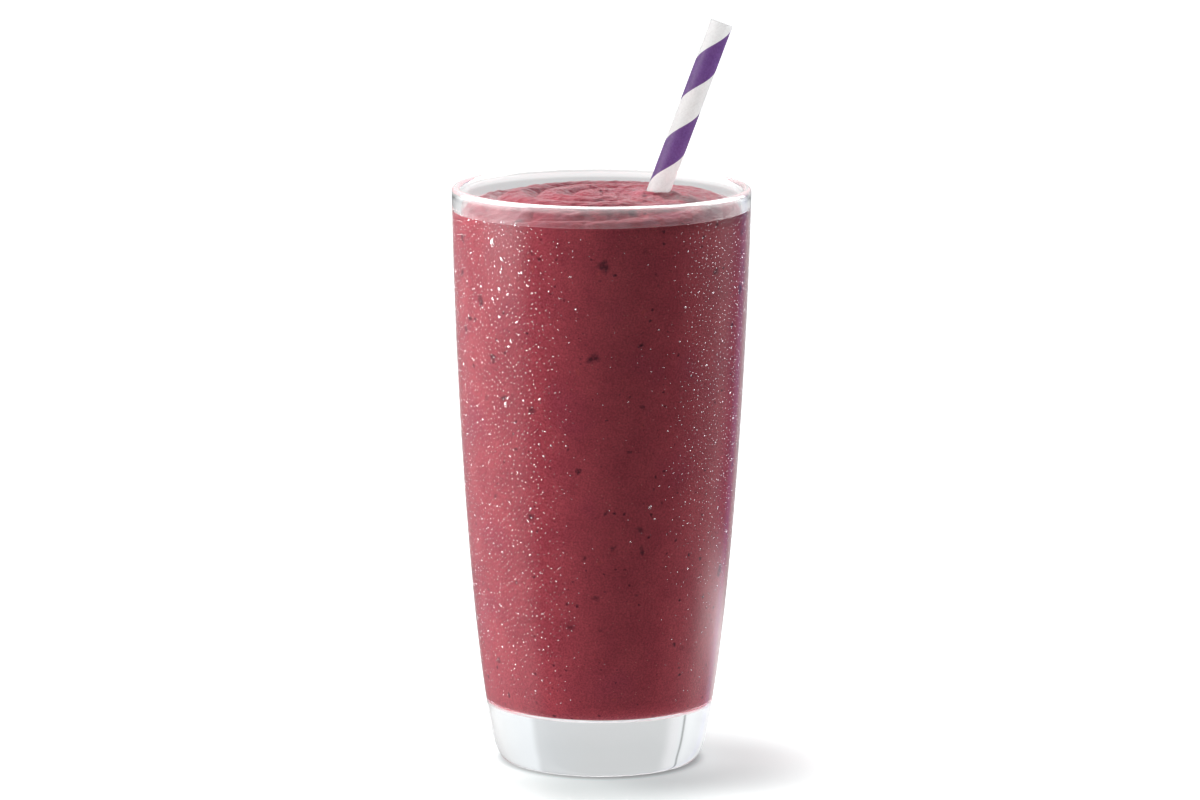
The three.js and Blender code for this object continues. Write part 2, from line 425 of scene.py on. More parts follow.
def run_tree(made, tree, name, inputs):
    """Runs a geometry node tree on an object, and returns its result as a plain mesh object."""
    modifier = made.modifiers.new(name, "NODES")
    modifier.node_group = tree
    for item in tree.interface.items_tree:
        if item.item_type == "SOCKET" and item.in_out == "INPUT" and item.name in inputs:
            modifier[item.identifier] = inputs[item.name]
    evaluated = made.evaluated_get(bpy.context.evaluated_depsgraph_get())
    mesh = bpy.data.meshes.new_from_object(evaluated)
    mesh.name = name
    result = bpy.data.objects.new(name, mesh)
    bpy.context.scene.collection.objects.link(result)
    bpy.data.objects.remove(made)
    return result


def blots(tree, at, cell, size, share, wobble):
    """Soft spots of up to a given size, in a share of the cells of a grid."""
    bent = add_node(tree, "ShaderNodeTexNoise", None, Vector=at, Scale=0.6 / size, Detail=3.0).outputs[1]
    push = add_node(tree, "ShaderNodeVectorMath", {"operation": "SCALE"}, _0=bent, Scale=wobble * size)
    moved = add_node(tree, "ShaderNodeVectorMath", {"operation": "ADD"}, _0=at, _1=push.outputs[0])
    spots = add_node(tree, "ShaderNodeTexVoronoi", None, Vector=moved.outputs[0], Scale=1 / cell)
    random = add_node(tree, "ShaderNodeSeparateColor", None, Color=spots.outputs["Color"]).outputs
    chosen = maths(tree, "LESS_THAN", random[0], share)
    reach = ramp(tree, random[1], 0.0, 1.0, 0.4 * size / cell, size / cell)
    inside = maths(tree, "DIVIDE", spots.outputs["Distance"], reach)
    return maths(tree, "MULTIPLY", ramp(tree, inside, 1.0, 0.3), chosen)


def pulp_colour(tree, at):
    """Mottled crimson pulp with seed grains, dark skins and blurred purple clusters."""
    tone = noise(tree, at, 110.0, 3.0)
    colour = mixed(tree, ramp(tree, tone, 0.3, 0.7), PULP_DEEP, PULP_PALE)
    purple = noise(tree, at, 60.0, 2.0)
    colour = mixed(tree, ramp(tree, purple, 0.52, 0.75, 0.0, 0.4), colour, PULP_PURPLE)
    bright = noise(tree, at, 420.0, 2.0)
    colour = mixed(tree, ramp(tree, bright, 0.66, 0.78, 0.0, 0.35), colour, PULP_BRIGHT)
    grain = ramp(tree, noise(tree, at, 2200.0, 2.0), 0.3, 0.7)
    shade = mixed(tree, grain, GRAIN_DARK, GRAIN_LIGHT)
    colour = mixed(tree, 1.0, colour, shade, "MULTIPLY")
    cell, size, share, depth, wobble = SEEDS
    mask = maths(tree, "MULTIPLY", blots(tree, at, cell, size, share, wobble), depth)
    colour = mixed(tree, mask, colour, SEED_COLOUR)
    crumbs = ramp(tree, noise(tree, at, 1300.0, 3.0, 0.6), 0.38, 0.58, 0.55, 1.0)
    for cell, size, share, depth, wobble in FLECKS:
        mask = maths(tree, "MULTIPLY", blots(tree, at, cell, size, share, wobble), depth)
        mask = maths(tree, "MULTIPLY", mask, crumbs)
        colour = mixed(tree, mask, colour, SKIN_COLOUR)
    return colour


def side_material():
    """Pulp against the glass: it wets the wall, so it has no shine of its own. Its underside is
    painted pale, a painted highlight for the light that gathers in the thick base."""
    material, tree, output, at = new_material("pulp_on_glass")
    height = add_node(tree, "ShaderNodeSeparateXYZ", None, Vector=at).outputs["Z"]
    # Painted highlight: a pale band at the bottom of the drink.
    painted_underside_light = ramp(tree, height, FLOOR_HEIGHT + UNDERSIDE_FROM, FLOOR_HEIGHT + UNDERSIDE_TO)
    colour = mixed(tree, painted_underside_light, pulp_colour(tree, at), UNDERSIDE_PAINTED_LIGHT)
    shader = tree.nodes.new("ShaderNodeBsdfPrincipled")
    tree.links.new(colour, shader.inputs["Base Color"])
    shader.inputs["Roughness"].default_value = 0.15
    shader.inputs["IOR"].default_value = DRINK_IN_GLASS_INDEX
    tree.links.new(shader.outputs[0], output.inputs["Surface"])
    return material


def top_material():
    """Open pulp: satin and faintly frothy, the froth colour also a painted sheen, with a fine tooth that
    breaks its shine.
    """
    material, tree, output, at = new_material("pulp_open")
    shader = tree.nodes.new("ShaderNodeBsdfPrincipled")
    # Patches of froth colour, which also stand in for sheen: partly a painted sheen.
    froth_and_sheen = ramp(tree, noise(tree, at, 260.0, 4.0, 0.6), 0.42, 0.68, 0.1, 0.55)
    open_colour = mixed(tree, froth_and_sheen, pulp_colour(tree, at), FROTH_AND_SHEEN_COLOUR)
    open_colour = mixed(tree, 1.0, open_colour, OPEN_TINT, "MULTIPLY")
    tree.links.new(open_colour, shader.inputs["Base Color"])
    tooth = noise(tree, at, 1500.0, 3.0)
    tree.links.new(ramp(tree, tooth, 0.3, 0.7, 0.30, 0.46), shader.inputs["Roughness"])
    shader.inputs["Specular IOR Level"].default_value = 0.6
    shader.inputs["Coat Weight"].default_value = 0.25
    shader.inputs["Coat Roughness"].default_value = 0.25
    shader.inputs["Sheen Weight"].default_value = 0.12
    shader.inputs["Sheen Roughness"].default_value = 0.4
    bump = add_node(tree, "ShaderNodeBump", None, Strength=0.35, Distance=0.0002, Height=tooth)
    tree.links.new(bump.outputs[0], shader.inputs["Normal"])
    tree.links.new(shader.outputs[0], output.inputs["Surface"])
    return material


def drink_body():
    """The drink as a closed body, with how open each point is and where it lies in the flow."""
    side = cavity_profile(-WALL_REACH, DRINK_LEVEL, SIDE_CORNER_STEPS, SIDE_WALL_STEPS)
    edge = side[-1][0]
    rings = [(edge * i / TOP_RINGS, DRINK_LEVEL) for i in range(TOP_RINGS - 1, -1, -1)]
    made = turned("smoothie_body", side + rings, DRINK_STEPS)
    count = len(made.data.vertices)
    points = np.empty(count * 3)
    made.data.vertices.foreach_get("co", points)
    points = points.reshape(-1, 3)
    side_count = 1 + (len(side) - 2) * DRINK_STEPS
    x, y = points[:, 0], points[:, 1]
    on_top = np.arange(count) >= side_count
    points[:, 2] = np.where(on_top, drink_height(x, y), points[:, 2])
    made.data.vertices.foreach_set("co", points.ravel())
    r = np.hypot(x, y)
    angle = np.arctan2(-y, -x)
    facts = {
        "open": np.where(on_top, smoothstep(edge - r, 0.0002, 0.0016), 0.0),
        "across": r + SWIRL_SPACING * SWIRL_ARMS * angle / (2 * math.pi),
        "along": r * angle,
    }
    for name, values in facts.items():
        made.data.attributes.new(name, "FLOAT", "POINT").data.foreach_set("value", values)
    on_side = (len(side) - 1) * DRINK_STEPS
    open_faces = [float(face >= on_side) for face in range(len(made.data.polygons))]
    made.data.attributes.new("open_face", "FLOAT", "FACE").data.foreach_set("value", open_faces)
    return made


smoothie = run_tree(drink_body(), pulp_tree(), "smoothie_pulp", {
    "Wrinkle Height": 0.0008,
    "Wrinkle Size": 0.0035,
    "Crag Height": 0.0018,
    "Crag Size": 0.006,
    "Grain Height": 0.0004,
    "Grain Size": 0.0011,
    "Side Material": side_material(),
    "Top Material": top_material(),
})
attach(smoothie, "root")
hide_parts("smoothie")


# Straw
# A tube wound from white paper ribbon, whose outer ribbon is printed with one broad purple band.
# The ribbon's edges meet in a fine seam along the middle of the white, and its ends are cut square.
STRAW_RADIUS = 0.003
STRAW_WALL = 0.0005
STRAW_LENGTH = 0.156
STRAW_SIDES = 72
SHOWN_LENGTH = 0.056
SHOWN_STEP = 0.0003
HIDDEN_STEP = 0.003
STRIPE_PITCH = 0.0226
STRIPE_SHARE = 0.51
STRIPE_BLUR = 0.004
STRIPE_START = 0.0059
STRIPE_WANDER = 0.004
SEAM_START = 0.0235
SEAM_HEIGHT = 0.00005
SEAM_WIDTH = 0.0005
SEAM_SHADE = 0.25
PAPER_DARK = (0.86, 0.85, 0.84, 1)
PAPER_LIGHT = (0.95, 0.945, 0.935, 1)
INK_DARK = (0.13, 0.052, 0.216, 1)
INK_LIGHT = (0.19, 0.09, 0.295, 1)
SEAM_COLOUR = (0.62, 0.60, 0.58, 1)


def straw_frame():
    """Front and right directions square to the straw, so that its front faces the camera."""
    forward = Vector((0, -1, 0))
    front = (forward - straw_axis * straw_axis.dot(forward)).normalized()
    return front, straw_axis.cross(front)


def straw_body():
    """The tube, with a coordinate around it and one down from its top end, in turns and pitches."""
    front, right = straw_frame()
    downs = list(np.arange(0.0, SHOWN_LENGTH, SHOWN_STEP))
    downs += list(np.arange(SHOWN_LENGTH, STRAW_LENGTH, HIDDEN_STEP)) + [STRAW_LENGTH]
    round_edge = STRAW_WALL / 6
    rows = [(down, STRAW_RADIUS, True) for down in downs]
    rows[0] = (round_edge, STRAW_RADIUS, True)
    bore = STRAW_RADIUS - STRAW_WALL
    rows += [(STRAW_LENGTH, bore, False), (STRAW_LENGTH / 2, bore, False), (round_edge, bore, False)]
    rows += [(0.0, bore + round_edge, False), (0.0, STRAW_RADIUS - round_edge, False)]
    vertices = []
    for down, radius, outside in rows:
        for i in range(STRAW_SIDES):
            share = i / STRAW_SIDES
            r = radius
            if outside:
                turn = (down - SEAM_START) / STRIPE_PITCH + share
                past = (turn - round(turn)) * STRIPE_PITCH
                r -= SEAM_HEIGHT * math.exp(-abs(past) / SEAM_WIDTH) if past < 0 else 0.0
            a = 2 * math.pi * share
            spoke = front * math.cos(a) + right * math.sin(a)
            vertices.append(tuple(STRAW_TOP - straw_axis * down + spoke * r))
    faces = []
    uvs = []
    for row in range(len(rows)):
        above = (row + 1) % len(rows)
        low = row * STRAW_SIDES
        high = above * STRAW_SIDES
        for i in range(STRAW_SIDES):
            j = (i + 1) % STRAW_SIDES
            faces.append((low + i, high + i, high + j, low + j))
            for around, line in ((i, row), (i, above), (i + 1, above), (i + 1, row)):
                uvs += [around / STRAW_SIDES, rows[line][0] / STRIPE_PITCH]
    made = new_object("striped_straw", vertices, faces)
    made.data.uv_layers.new(name="winding").data.foreach_set("uv", uvs)
    printed = made.data.attributes.new("outside", "FLOAT", "POINT")
    shows = [float(outside) for _, _, outside in rows for _ in range(STRAW_SIDES)]
    printed.data.foreach_set("value", shows)
    return made


def straw_material():
    """White paper with a printed spiral band, a little ink mottle, a fine seam and paper tooth."""
    material, tree, output, at = new_material("wound_paper")
    winding = add_node(tree, "ShaderNodeUVMap", {"uv_map": "winding"}).outputs[0]
    parts = add_node(tree, "ShaderNodeSeparateXYZ", None, Vector=winding)
    uneven = maths(tree, "SUBTRACT", noise(tree, at, 700.0, 1.0), 0.5)
    wander = maths(tree, "MULTIPLY", uneven, STRIPE_WANDER)
    turn = maths(tree, "ADD", maths(tree, "ADD", parts.outputs["X"], parts.outputs["Y"]), wander)
    phase = maths(tree, "FRACT", maths(tree, "SUBTRACT", turn, STRIPE_START / STRIPE_PITCH - 1.0))
    band_starts = ramp(tree, phase, 0.0, 2 * STRIPE_BLUR)
    band_ends = ramp(tree, phase, STRIPE_SHARE + STRIPE_BLUR, STRIPE_SHARE - STRIPE_BLUR)
    band = maths(tree, "MULTIPLY", band_starts, band_ends)
    outside = tree.nodes.new("ShaderNodeAttribute")
    outside.attribute_name = "outside"
    band = maths(tree, "MULTIPLY", band, maths(tree, "GREATER_THAN", outside.outputs["Fac"], 0.5))
    fibres = noise(tree, at, 1800.0, 4.0, 0.7)
    paper = mixed(tree, ramp(tree, fibres, 0.3, 0.7), PAPER_DARK, PAPER_LIGHT)
    ink = mixed(tree, ramp(tree, fibres, 0.3, 0.75), INK_DARK, INK_LIGHT)
    seam_phase = maths(tree, "FRACT", maths(tree, "SUBTRACT", turn, SEAM_START / STRIPE_PITCH - 1.0))
    seam = ramp(tree, seam_phase, 0.985, 1.0)
    paper = mixed(tree, maths(tree, "MULTIPLY", seam, SEAM_SHADE), paper, SEAM_COLOUR)
    shader = tree.nodes.new("ShaderNodeBsdfPrincipled")
    tree.links.new(mixed(tree, band, paper, ink), shader.inputs["Base Color"])
    tree.links.new(ramp(tree, fibres, 0.2, 0.8, 0.42, 0.6), shader.inputs["Roughness"])
    shader.inputs["Specular IOR Level"].default_value = 0.45
    shader.inputs["Subsurface Weight"].default_value = 0.6
    shader.inputs["Subsurface Radius"].default_value = (1.0, 1.0, 1.0)
    shader.inputs["Subsurface Scale"].default_value = 0.0015
    bump = add_node(tree, "ShaderNodeBump", None, Strength=0.3, Distance=0.00006, Height=fibres)
    tree.links.new(bump.outputs[0], shader.inputs["Normal"])
    tree.links.new(shader.outputs[0], output.inputs["Surface"])
    return material


straw = straw_body()
straw.data.materials.append(straw_material())
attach(straw, "root")
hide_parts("straw")


# Condensation
# Water beaded out of warm air on the cold wall: a dense dew of tiny caps, larger beads among them
# and a few that have run together. Each is a low cap that sits on the glass, and the tiny ones are
# painted a little white, as painted glints.
DEW_LOW = 0.02
DEW_HIGH = 0.1465
DEW_FULL_FROM = 0.045
DEW_ROWS = 60
DRY_FRONT_LEFT = (-34, -4)
DRY_FRONT_RIGHT = (46, 22)
DRY_FRONT_SHARE = 0.97
DRY_BACK = (100, 130)
DRY_BACK_SHARE = 0.6
DRY_RIGHT = (-10, 20)
DRY_RIGHT_HEIGHTS = (0.09, 0.035)
DRY_RIGHT_SHARE = 0.8
WATER_INDEX = 1.33
# A share of each fine drop is painted white, not clear: painted glints.
PAINTED_GLINT_SHARE = 0.14
WATER_WHITE_DARK = (0.9, 0.86, 0.87, 1)
WATER_WHITE_LIGHT = (1.0, 0.97, 0.98, 1)
SKIRT = 0.3
MOSTLY_SMALL = 2.5
MOSTLY_ROUND = 4.0
# Kinds of dew: sides, rings and height of a cap, drops in a square metre, least spacing, smallest
# and largest half width, longest shape, and seed.
DEW_KINDS = (
    ("dew_fine", 5, 2, 0.4, 1150000.0, 0.0010, 0.00011, 0.00019, 1.3, 17),
    ("dew_beads", 10, 3, 0.42, 60000.0, 0.0030, 0.00018, 0.00028, 1.8, 23),
)
LARGE_DROP_HEIGHT = 0.5
LARGE_DROP_SIDES = 24
LARGE_DROP_RINGS = 8
# Large drops: degrees round from the front, height, half width, half length and turn in degrees.
LARGE_DROPS = (
    (-46.0, 0.1407, 0.00080, 0.00115, 10),
    (-41.1, 0.1367, 0.00036, 0.00075, 125),
    (-41.9, 0.1333, 0.00033, 0.00045, 0),
    (-42.8, 0.1289, 0.00042, 0.00060, 30),
    (-38.5, 0.1278, 0.00028, 0.00050, 55),
    (-46.5, 0.1260, 0.00036, 0.00050, -20),
    (-31.7, 0.1338, 0.00034, 0.00042, 30),
    (-29.3, 0.1306, 0.00034, 0.00040, 0),
    (-43.1, 0.1215, 0.00032, 0.00050, 60),
    (-37.4, 0.1156, 0.00040, 0.00060, -10),
    (-41.0, 0.0988, 0.00050, 0.00080, 0),
    (21.0, 0.0731, 0.00042, 0.00055, 15),
)


def wet_wall():
    """The strip of outer wall that is cold enough for dew, with how wet it is at each point. It is
    nearly dry at the front, and drier at the back and low on the right."""
    heights = np.linspace(DEW_LOW, DEW_HIGH, DEW_ROWS)
    made = turned("wet_wall", [(outer_radius(z), z) for z in heights], GLASS_STEPS)
    x, y, z = np.array([tuple(v.co) for v in made.data.vertices]).T
    turn = np.degrees(np.arctan2(x, -y))
    dry_front = smoothstep(turn, *DRY_FRONT_LEFT) * smoothstep(turn, *DRY_FRONT_RIGHT)
    dry_back = smoothstep(np.abs(turn), *DRY_BACK)
    dry_right = smoothstep(turn, *DRY_RIGHT) * smoothstep(z, *DRY_RIGHT_HEIGHTS)
    wet = 0.5 + 0.5 * smoothstep(z, DEW_LOW, DEW_FULL_FROM)
    wet = wet * (1 - DRY_FRONT_SHARE * dry_front) * (1 - DRY_BACK_SHARE * dry_back)
    wet = wet * (1 - DRY_RIGHT_SHARE * dry_right)
    made.data.attributes.new("wet", "FLOAT", "POINT").data.foreach_set("value", wet)
    return made


def water_cap(name, sides, rings, height, water):
    """A spherical cap of unit radius, its top towards +Z, on a skirt that sinks into the wall."""
    bend = (1 + height**2) / (2 * height)
    profile = [(0.0, height)]
    for ring in range(1, rings + 1):
        r = math.sin(math.pi / 2 * ring / rings)
        profile.append((r, math.sqrt(bend**2 - r**2) - bend + height))
    profile += [(1.0, -SKIRT)]
    made = turned(name, profile[::-1], sides)
    outline = bmesh.new()
    outline.from_mesh(made.data)
    bmesh.ops.holes_fill(outline, edges=outline.edges)
    bmesh.ops.recalc_face_normals(outline, faces=outline.faces)
    outline.to_mesh(made.data)
    outline.free()
    made.data.materials.append(water)
    return made


def chance(tree, seed, shift):
    """A random share for each drop, from the kind's own seed moved on by a shift."""
    own_seed = maths(tree, "ADD", seed, shift)
    return add_node(tree, "FunctionNodeRandomValue", {"data_type": "FLOAT"}, Seed=own_seed).outputs[1]


def dew_tree(name):
    """Geometry nodes: scatters one kind of cap over a wall, turned out from it, in random sizes."""
    tree = bpy.data.node_groups.new(name, "GeometryNodeTree")
    new_socket = tree.interface.new_socket
    new_socket("Geometry", in_out="INPUT", socket_type="NodeSocketGeometry")
    new_socket("Cap", in_out="INPUT", socket_type="NodeSocketObject")
    for label in ("Drops Per Square Metre", "Nearest", "Smallest", "Largest", "Longest"):
        new_socket(label, in_out="INPUT", socket_type="NodeSocketFloat")
    new_socket("Seed", in_out="INPUT", socket_type="NodeSocketInt")
    new_socket("Material", in_out="INPUT", socket_type="NodeSocketMaterial")
    new_socket("Geometry", in_out="OUTPUT", socket_type="NodeSocketGeometry")
    given = tree.nodes.new("NodeGroupInput").outputs
    spread = add_node(tree, "GeometryNodeDistributePointsOnFaces", {"distribute_method": "POISSON"},
                      Mesh=given["Geometry"], Seed=given["Seed"])
    tree.links.new(given["Nearest"], spread.inputs["Distance Min"])
    tree.links.new(given["Drops Per Square Metre"], spread.inputs["Density Max"])
    tree.links.new(named_value(tree, "wet"), spread.inputs["Density Factor"])
    mostly_small = maths(tree, "POWER", chance(tree, given["Seed"], 0.0), MOSTLY_SMALL)
    span = maths(tree, "SUBTRACT", given["Largest"], given["Smallest"])
    size = maths(tree, "ADD", given["Smallest"], maths(tree, "MULTIPLY", mostly_small, span))
    mostly_round = maths(tree, "POWER", chance(tree, given["Seed"], 7.0), MOSTLY_ROUND)
    longer = maths(tree, "SUBTRACT", given["Longest"], 1.0)
    stretch = maths(tree, "ADD", maths(tree, "MULTIPLY", mostly_round, longer), 1.0)
    long_size = maths(tree, "MULTIPLY", size, stretch)
    scale = add_node(tree, "ShaderNodeCombineXYZ", None, X=size, Y=long_size, Z=size).outputs[0]
    angle = maths(tree, "MULTIPLY", chance(tree, given["Seed"], 13.0), 2 * math.pi)
    about = add_node(tree, "FunctionNodeAxisAngleToRotation", None, Axis=(0, 0, 1), Angle=angle).outputs[0]
    turn = add_node(tree, "FunctionNodeRotateRotation", {"rotation_space": "LOCAL"})
    tree.links.new(spread.outputs["Rotation"], turn.inputs["Rotation"])
    tree.links.new(about, turn.inputs[1])
    cap = add_node(tree, "GeometryNodeObjectInfo", None, Object=given["Cap"]).outputs["Geometry"]
    placed = add_node(tree, "GeometryNodeInstanceOnPoints", None, Points=spread.outputs["Points"],
                      Instance=cap, Rotation=turn.outputs[0], Scale=scale)
    real = add_node(tree, "GeometryNodeRealizeInstances", None, Geometry=placed.outputs[0])
    painted = add_node(tree, "GeometryNodeSetMaterial", None, Geometry=real.outputs[0])
    tree.links.new(given["Material"], painted.inputs["Material"])
    output = tree.nodes.new("NodeGroupOutput")
    tree.links.new(painted.outputs[0], output.inputs[0])
    return tree


def water_material(name, clear):
    """Water with a bright skin. In the smallest drops a share is painted white, as a painted glint."""
    material, tree, output, at = new_material(name)
    shader = tree.nodes.new("ShaderNodeBsdfPrincipled")
    # This white shows where a drop is not clear. In the fine drops it is a painted glint.
    clouds = ramp(tree, noise(tree, at, 900.0), 0.3, 0.7)
    water_white = mixed(tree, clouds, WATER_WHITE_DARK, WATER_WHITE_LIGHT)
    tree.links.new(water_white, shader.inputs["Base Color"])
    shader.inputs["Transmission Weight"].default_value = clear
    shader.inputs["IOR"].default_value = WATER_INDEX
    tree.links.new(ramp(tree, noise(tree, at, 2500.0), 0.3, 0.7, 0.10, 0.13), shader.inputs["Roughness"])
    shader.inputs["Coat Weight"].default_value = 1.0
    shader.inputs["Coat IOR"].default_value = 2.0
    shader.inputs["Coat Roughness"].default_value = 0.12
    let_light_through(tree, shader.outputs[0], output, LIGHT_PASSED)
    return material


def placed_drops(name, cap_height, water, drops):
    """Single large drops, each given by its place on the wall, half width, half length and turn."""
    cap = water_cap(name + "_cap", LARGE_DROP_SIDES, LARGE_DROP_RINGS, cap_height, water)
    vertices = []
    faces = []
    for side, z, half_width, half_length, turn in drops:
        a = math.radians(side)
        lean = math.atan(slope_at(outer_radius, z))
        out = Vector((math.sin(a) * math.cos(lean), -math.cos(a) * math.cos(lean), -math.sin(lean)))
        right = Vector((math.cos(a), math.sin(a), 0.0))
        up = out.cross(right)
        spot = Vector((outer_radius(z) * math.sin(a), -outer_radius(z) * math.cos(a), z))
        cosine = math.cos(math.radians(turn))
        sine = math.sin(math.radians(turn))
        first = len(vertices)
        for v in cap.data.vertices:
            wide = v.co.x * half_width
            long = v.co.y * half_length
            across = wide * cosine + long * sine
            along = long * cosine - wide * sine
            vertices.append(tuple(spot + right * across + up * along + out * v.co.z * half_width))
        faces += [tuple(first + i for i in face.vertices) for face in cap.data.polygons]
    bpy.data.objects.remove(cap)
    made = new_object(name, vertices, faces)
    made.data.materials.append(water)
    return made


fine_water = water_material("fine_dew", 1.0 - PAINTED_GLINT_SHARE)
clear_water = water_material("clear_dew", 1.0)
wet_pieces = []
for kind, sides, rings, height, density, nearest, smallest, largest, longest, seed in DEW_KINDS:
    cap = water_cap(kind + "_cap", sides, rings, height, fine_water)
    drops = run_tree(wet_wall(), dew_tree(kind), kind, {
        "Cap": cap,
        "Drops Per Square Metre": density,
        "Nearest": nearest,
        "Smallest": smallest,
        "Largest": largest,
        "Longest": longest,
        "Seed": seed,
        "Material": fine_water,
    })
    bpy.data.objects.remove(cap)
    wet_pieces.append(drops)
wet_pieces.append(placed_drops("large_drops", LARGE_DROP_HEIGHT, clear_water, LARGE_DROPS))
for drops in wet_pieces:
    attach(drops, "root")


# Floor
# A wide white sweep that the glass stands on. Its paper glows, and glows less close to the glass,
# which is a painted shade there besides the shadow that the glass itself throws, and a painted
# contact shadow darkens it round the foot.
FLOOR_RADIUS = 6.0
FLOOR_DROP = 0.00005
FLOOR_GLOW_NEAR = 0.26
FLOOR_GLOW_BESIDE = 0.16
FLOOR_GLOW_RIGHT = 0.12
FLOOR_GLOW_LEFT = 0.4
FLOOR_GLOW_FAR = 1.05
FLOOR_GLOW_FROM = 0.034
FLOOR_GLOW_TO = 0.088
# A painted contact shadow: in a ring round the foot the paper is darker and glows less.
CONTACT_FROM = 0.0245
CONTACT_TO = 0.029
CONTACT_SHADOW_GLOW = 0.3
CONTACT_SHADOW_COLOUR = (0.5, 0.52, 0.52, 1)
# The paper's cool tint is painted to cancel the pink light that the drink throws into the shade beside it.
SWEEP_DARK = (0.72, 0.81, 0.80, 1)
SWEEP_LIGHT = (0.74, 0.83, 0.82, 1)


def floor_material():
    """White paper that glows less near the glass, a painted shade, and is darker round its foot,
    a painted contact shadow.
    """
    material, tree, output, at = new_material("white_sweep")
    tone = noise(tree, at, 3.0, 2.0)
    colour = mixed(tree, ramp(tree, tone, 0.3, 0.7), SWEEP_DARK, SWEEP_LIGHT)
    distance = add_node(tree, "ShaderNodeVectorMath", {"operation": "LENGTH"}, _0=at).outputs["Value"]
    # Painted shade: the glow drops near the glass, most in front and on the right.
    glow = ramp(tree, distance, FLOOR_GLOW_FROM, FLOOR_GLOW_TO, FLOOR_GLOW_NEAR, FLOOR_GLOW_FAR)
    place = add_node(tree, "ShaderNodeSeparateXYZ", None, Vector=at).outputs
    beside = ramp(tree, place["Y"], -0.032, 0.0, 0.0, FLOOR_GLOW_BESIDE)
    left = ramp(tree, place["X"], -0.005, -0.035, 0.0, FLOOR_GLOW_LEFT)
    beside = maths(tree, "ADD", beside, left)
    right = ramp(tree, place["X"], 0.01, 0.035, 0.0, FLOOR_GLOW_RIGHT)
    beside = maths(tree, "ADD", beside, right)
    glow = maths(tree, "MINIMUM", maths(tree, "ADD", glow, beside), FLOOR_GLOW_FAR)
    # Painted contact shadow: darker colour and less glow close to the foot.
    painted_contact_shadow = ramp(tree, distance, CONTACT_FROM, CONTACT_TO)
    lit = ramp(tree, distance, CONTACT_FROM, CONTACT_TO, CONTACT_SHADOW_GLOW, 1.0)
    glow = maths(tree, "MULTIPLY", glow, lit)
    colour = mixed(tree, painted_contact_shadow, CONTACT_SHADOW_COLOUR, colour)
    shader = tree.nodes.new("ShaderNodeBsdfPrincipled")
    tree.links.new(colour, shader.inputs["Base Color"])
    shader.inputs["Roughness"].default_value = 0.9
    shader.inputs["Specular IOR Level"].default_value = 0.0
    shader.inputs["Emission Color"].default_value = (1, 1, 1, 1)
    tree.links.new(glow, shader.inputs["Emission Strength"])
    tree.links.new(shader.outputs[0], output.inputs["Surface"])
    return material


floor = turned("floor", [(0.0, -FLOOR_DROP), (FLOOR_RADIUS, -FLOOR_DROP)], 96)
floor.data.flip_normals()
floor.data.materials.append(floor_material())
floor.visible_glossy = False
floor.visible_diffuse = False
floor.visible_transmission = False
floor.visible_shadow = False


# Light
# A tall soft box close on the left, weak fills in front, on the right and off the table, and a
# pale room that is bright at the sides and behind and dark in front. Lamps that light only one
# kind of piece bring out the rim, the dew, the drink's top, the straw and the floor.
SOFT_BOX_WIDTH = 0.6
SOFT_BOX_HEIGHT = 0.5
SOFT_BOX_LOW = 0.0
SOFT_BOX_AWAY = 0.5
SOFT_BOX_TURN = 79
SOFT_BOX_RADIANCE = 3.3
COOL_WHITE = (0.9, 0.94, 1.0)


def soft_light(name, place, target, width, height, radiance, colour=(1, 1, 1)):
    """A rectangular lamp of one brightness that faces a target."""
    data = bpy.data.lights.new(name, "AREA")
    data.shape = "RECTANGLE"
    data.size = width
    data.size_y = height
    data.energy = radiance * math.pi * width * height
    data.color = colour
    made = bpy.data.objects.new(name, data)
    made.location = place
    made.rotation_euler = (Vector(target) - Vector(place)).to_track_quat("-Z", "Y").to_euler()
    bpy.context.scene.collection.objects.link(made)
    return made


def soft_edges(lamp, beside, below, above):
    """Lets a lamp's face go dark towards its edges, over these shares of its width and height."""
    lamp.data.use_nodes = True
    tree = lamp.data.node_tree
    tree.nodes.clear()
    place = tree.nodes.new("ShaderNodeNewGeometry").outputs["Parametric"]
    face = add_node(tree, "ShaderNodeSeparateXYZ", None, Vector=place).outputs
    left = ramp(tree, face["X"], 0.0, beside)
    right = ramp(tree, face["X"], 1.0, 1.0 - beside)
    low = ramp(tree, face["Y"], 0.0, below)
    high = ramp(tree, face["Y"], 1.0, 1.0 - above)
    sideways = maths(tree, "MULTIPLY", left, right)
    upright = maths(tree, "MULTIPLY", low, high)
    strength = maths(tree, "MULTIPLY", sideways, upright)
    glow = add_node(tree, "ShaderNodeEmission", None, Strength=strength)
    output = tree.nodes.new("ShaderNodeOutputLight")
    tree.links.new(glow.outputs[0], output.inputs["Surface"])


def only_for(lamp, pieces):
    """Lets a lamp light these pieces and nothing else."""
    group = bpy.data.collections.new("lit_by_" + lamp.name)
    for piece in pieces:
        group.objects.link(piece)
    lamp.light_linking.receiver_collection = group


def round_ramp(tree, turn, stops):
    """The output of a Color Ramp over the compass, from stops of turn and colour."""
    made = add_node(tree, "ShaderNodeValToRGB", None, Fac=turn)
    made.color_ramp.interpolation = "EASE"
    elements = made.color_ramp.elements
    while len(elements) < len(stops):
        elements.new(0.5)
    for element, (place, colour) in zip(elements, stops):
        element.position = place
        element.color = (*colour, 1)
    return made.outputs[0]


